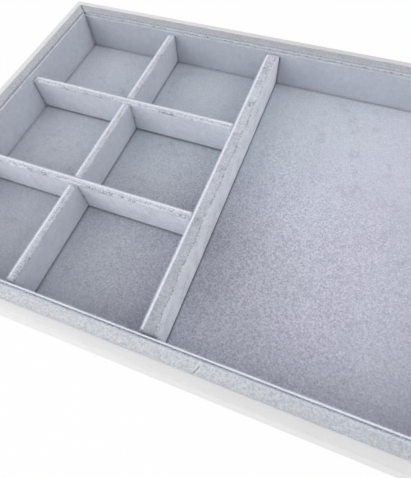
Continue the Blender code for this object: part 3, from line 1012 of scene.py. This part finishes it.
class TRAY_OT_floor(bpy.types.Operator):
    """Makes the velvet on the floor and the felt under the base"""
    bl_idname = "tray.floor"
    bl_label = "Floor Velvet and Felt"

    # A light factor, painted light, then ovals of painted light and shade over the floor, two of them also
    # with a tint.
    NAP = 1.03
    LIGHT_PATCHES = (
        ((0.075, 0.03), (0.085, 0.115), even(1.22)),
        ((-0.094, 0.055), (0.045, 0.04), even(1.18)),
        ((-0.03, 0.06), (0.035, 0.03), even(1.08)),
        ((-0.088, 0.005), (0.035, 0.03), even(1.1)),
        ((0.008, -0.02), (0.022, 0.05), even(0.88)),
        ((-0.02, -0.04), (0.04, 0.045), even(0.93)),
        ((-0.09, -0.05), (0.04, 0.03), even(0.97)),
        ((0.07, -0.03), (0.1, 0.11), (1.02, 0.97, 1.02)),
        ((0.024, -0.038), (0.03, 0.034), even(0.91)),
        ((0.09, 0.05), (0.06, 0.04), even(1.05)),
        ((-0.01, 0.035), (0.09, 0.055), (1.01, 1.05, 1.035)),
    )
    RUFFLED = ((0.02, -0.035), (0.085, 0.08))
    LINER_SOFTNESS = 1.5
    PILE_RADIUS, PILE_SEED = 0.00029, 21.0
    # The felt's colour and flecks, its fibres' size, its roughness and its relief.
    FELT = ((0.30, 0.31, 0.34), (0.42, 0.43, 0.46), 0.0012, 0.95, 0.0001)
    FELT_RADIUS, FELT_SPACING, FELT_ROLL, FELT_SEED = 0.0004, 0.003, 0.00005, 25.0

    def execute(self, context):
        low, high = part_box("floor_velvet")
        # The liners and dividers leave marks on the floor: pressed pile and painted contact shade.
        liners = [(*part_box(side + "_liner"), STRONG_MARK, self.LINER_SOFTNESS) for side in SIDES]
        look = velvet_material("floor_pile", self.NAP, self.NAP, marking_boxes=divider_marks() + liners,
                               light_patches=self.LIGHT_PATCHES, ruffled=self.RUFFLED)
        pile = wrapped_board("floor_pile", low, high, self.PILE_RADIUS, look, self.PILE_SEED, steps=2)
        place_piece(pile, TRAY, "velvet", "floor_velvet")
        low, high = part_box("bottom_sheet")
        look = board_material("grey_felt", *self.FELT)
        felt = wrapped_board("base_felt", low, high, self.FELT_RADIUS, look, self.FELT_SEED,
                             self.FELT_SPACING, self.FELT_ROLL, 2)
        place_piece(felt, TRAY, "felt", "bottom_sheet")
        return {"FINISHED"}


class TRAY_OT_main_divider(bpy.types.Operator):
    """Makes the thick divider's velvet sleeve"""
    bl_idname = "tray.main_divider"
    bl_label = "Main Divider"

    # Light factors on the top and the sides, painted light and shade, then an oval of painted shade at the
    # front and one of painted light at the back.
    NAP, SIDE_NAP = 1.19, 1.7
    LIGHT_PATCHES = (((0.0, -0.07), (0.02, 0.06), even(0.87)), ((0.0, 0.06), (0.02, 0.05), even(1.12)))
    SHIFT = 0.3
    SEED, FRINGE_SEED = 31.0, 70

    def execute(self, context):
        low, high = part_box("main_divider_velvet")
        look = velvet_material("main_divider_pile", self.NAP, self.SIDE_NAP, light_patches=self.LIGHT_PATCHES,
                               shift=self.SHIFT)
        board = sleeve("main_divider", low, high, look, self.SEED)
        place_velvet(board, TRAY, "main_divider_velvet", "main_divider_fringe", self.FRINGE_SEED)
        return {"FINISHED"}


class TRAY_OT_grid(bpy.types.Operator):
    """Makes the sleeves of the three thin dividers, which lift out together"""
    bl_idname = "tray.grid"
    bl_label = "Divider Grid"

    # The clearance in the half laps.
    CLEAR = 0.0005
    # The light factors of the long divider, the front cross divider and the back one, on their tops and their
    # sides: painted light and shade.
    LIGHT_FACTORS = ((1.32, 1.05), (1.5, 1.52), (1.5, 1.33))
    SEEDS = (41.0, 43.0, 44.0)
    FRINGE_SEED = 80

    def slots(self):
        """The cutters of the half laps: upper ones in the long divider, a lower one in each cross divider."""
        (low, high), *crossings = (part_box(name + "_velvet") for name in THIN_DIVIDERS)
        lap = (low.z + high.z) / 2
        upper, lower = [], []
        for number, (cross_low, cross_high) in enumerate(crossings):
            upper.append(box_cutter(
                f"upper_slot_{number}", (low.x - self.CLEAR, cross_low.y - self.CLEAR, lap - self.CLEAR / 2),
                (high.x + self.CLEAR, cross_high.y + self.CLEAR, high.z + OVERRUN)))
            lower.append([box_cutter(
                f"lower_slot_{number}", (low.x - self.CLEAR, cross_low.y - OVERRUN, low.z - OVERRUN),
                (high.x + self.CLEAR, cross_high.y + OVERRUN, lap + self.CLEAR / 2))])
        return [upper, *lower]

    def execute(self, context):
        for index, (name, cutters) in enumerate(zip(THIN_DIVIDERS, self.slots())):
            low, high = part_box(name + "_velvet")
            # Each sleeve gets painted crease shade along its foot.
            look = velvet_material(name + "_pile", *self.LIGHT_FACTORS[index], foot=low.z)
            board = sleeve(name, low, high, look, self.SEEDS[index], cutters)
            place_velvet(board, GRID, name + "_velvet", name + "_fringe", self.FRINGE_SEED + index)
        return {"FINISHED"}


class TRAY_OT_boards(bpy.types.Operator):
    """Gives the hidden boards their fibreboard and card"""
    bl_idname = "tray.boards"
    bl_label = "Inner Boards"

    # The boards' colour and flecks, their fibres' size, their roughness and their relief.
    FIBREBOARD = ((0.36, 0.25, 0.15), (0.55, 0.41, 0.27), 0.0008, 0.8, 0.00005)
    CARD = ((0.42, 0.40, 0.38), (0.58, 0.56, 0.53), 0.0006, 0.85, 0.00003)

    def execute(self, context):
        fibreboard = board_material("brown_fibreboard", *self.FIBREBOARD)
        card = board_material("grey_card", *self.CARD)
        for name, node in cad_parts.items():
            if not node.hide_render:
                look = fibreboard if "wall_core" in name or name == "base_board" else card
                for slot in node.material_slots:
                    slot.material = look
        return {"FINISHED"}


class TRAY_OT_stage(bpy.types.Operator):
    """Makes the table, the light and the camera"""
    bl_idname = "tray.stage"
    bl_label = "Stage"

    TABLE_GAP = 0.0001
    TABLE_REACH, TABLE_CELLS = 1.5, 8
    SPECK_SIZE, SPECK_SHADE = 0.004, 0.97
    # How much of the table that is seen is plain white. The rest keeps the tray's shadow.
    WHITE_SHARE = 0.94
    LAMP_SIZE, LAMP_DISTANCE = 2.2, 2
    # Where the lamps stand, as degrees round from the front and up from the table.
    LEFT_LAMP, RIGHT_LAMP = (-45, 25), (90, 42)
    CLIP_START = 0.005

    def execute(self, context):
        stage = context.scene.tray_stage
        self.make_table(stage)
        self.make_light(stage)
        self.make_camera(stage)
        context.scene.view_settings.view_transform = "Standard"
        return {"FINISHED"}

    def seen_ray(self, tree):
        """1 for what the camera sees, straight or in a mirror or glass."""
        path = Wire.node(tree, "ShaderNodeLightPath", None, None, "Is Camera Ray")
        return path.maths("MAXIMUM", path.beside("Is Glossy Ray")).maths(
            "MAXIMUM", path.beside("Is Transmission Ray"))

    def make_table(self, stage):
        look, tree, place = bare_material("pale_table")
        shade = [channel * self.SPECK_SHADE for channel in stage.table_colour]
        colour = mix_colours(lumps(place, self.SPECK_SIZE, detail=3, gain=1.5), stage.table_colour, shade)
        values = {"Base Color": colour, "Roughness": 0.9}
        matt = Wire.node(tree, "ShaderNodeBsdfPrincipled", None, values, "BSDF")
        white = Wire.node(tree, "ShaderNodeEmission", None, {"Color": opaque(even(1)), "Strength": 1.0})
        share = self.seen_ray(tree) * self.WHITE_SHARE
        shader = Wire.node(tree, "ShaderNodeMixShader", None, {0: share, 1: matt, 2: white})
        Wire.node(tree, "ShaderNodeOutputMaterial", None, {"Surface": shader})
        shape = bmesh.new()
        cells = self.TABLE_CELLS
        bmesh.ops.create_grid(shape, x_segments=cells, y_segments=cells, size=self.TABLE_REACH)
        bmesh.ops.translate(shape, vec=-UP * self.TABLE_GAP, verts=shape.verts)
        table = mesh_object("table", shape, look)

    def make_light(self, stage):
        world = bpy.data.worlds.new("studio")
        bpy.context.scene.world = world
        world.use_nodes = True
        tree = world.node_tree
        tree.nodes.clear()
        strength = self.seen_ray(tree) * (1 - stage.sky) + stage.sky
        sky = Wire.node(tree, "ShaderNodeBackground", None, {"Color": opaque(even(1)), "Strength": strength})
        Wire.node(tree, "ShaderNodeOutputWorld", None, {"Surface": sky})
        for name, power, (azimuth, height) in (("left_softbox", stage.left_power, self.LEFT_LAMP),
                                               ("right_softbox", stage.right_power, self.RIGHT_LAMP)):
            lamp = bpy.data.lights.new(name, "AREA")
            lamp.shape = "DISK"
            lamp.size = self.LAMP_SIZE
            lamp.energy = power
            turn, rise = radians(azimuth), radians(height)
            way = Vector((sin(turn) * cos(rise), -cos(turn) * cos(rise), sin(rise)))
            item = link(bpy.data.objects.new(name, lamp))
            item.location = way * self.LAMP_DISTANCE
            item.rotation_euler = (-item.location).to_track_quat("-Z", "Y").to_euler()

    def make_camera(self, stage):
        camera = link(bpy.data.objects.new("camera", bpy.data.cameras.new("camera")))
        camera.data.lens = stage.lens
        camera.data.clip_start = self.CLIP_START
        camera.location = stage.camera_place
        camera.rotation_euler = stage.camera_turn
        bpy.context.scene.camera = camera


OPERATORS = (TRAY_OT_wrap, TRAY_OT_rim, TRAY_OT_liners, TRAY_OT_floor, TRAY_OT_main_divider, TRAY_OT_grid,
             TRAY_OT_boards, TRAY_OT_stage)


class TRAY_PT_panel(bpy.types.Panel):
    """Lists the tray's pieces"""
    bl_idname = "TRAY_PT_panel"
    bl_label = "Organizer Tray"
    bl_space_type = "VIEW_3D"
    bl_region_type = "UI"
    bl_category = "Tray"

    def draw(self, context):
        for operator in OPERATORS:
            self.layout.operator(operator.bl_idname)


GROUPS = {"tray_velvet": TrayVelvet, "tray_leather": TrayLeather, "tray_stage": TrayStage}
CLASSES = (*GROUPS.values(), *OPERATORS, TRAY_PT_panel)


def register():
    for item in CLASSES:
        bpy.utils.register_class(item)
    for name, group in GROUPS.items():
        setattr(bpy.types.Scene, name, bpy.props.PointerProperty(type=group))


def unregister():
    for name in GROUPS:
        delattr(bpy.types.Scene, name)
    for item in reversed(CLASSES):
        bpy.utils.unregister_class(item)


def main():
    register()
    for operator in OPERATORS:
        group, name = operator.bl_idname.split(".")
        getattr(getattr(bpy.ops, group), name)()


if __name__ == "__main__":
    main()
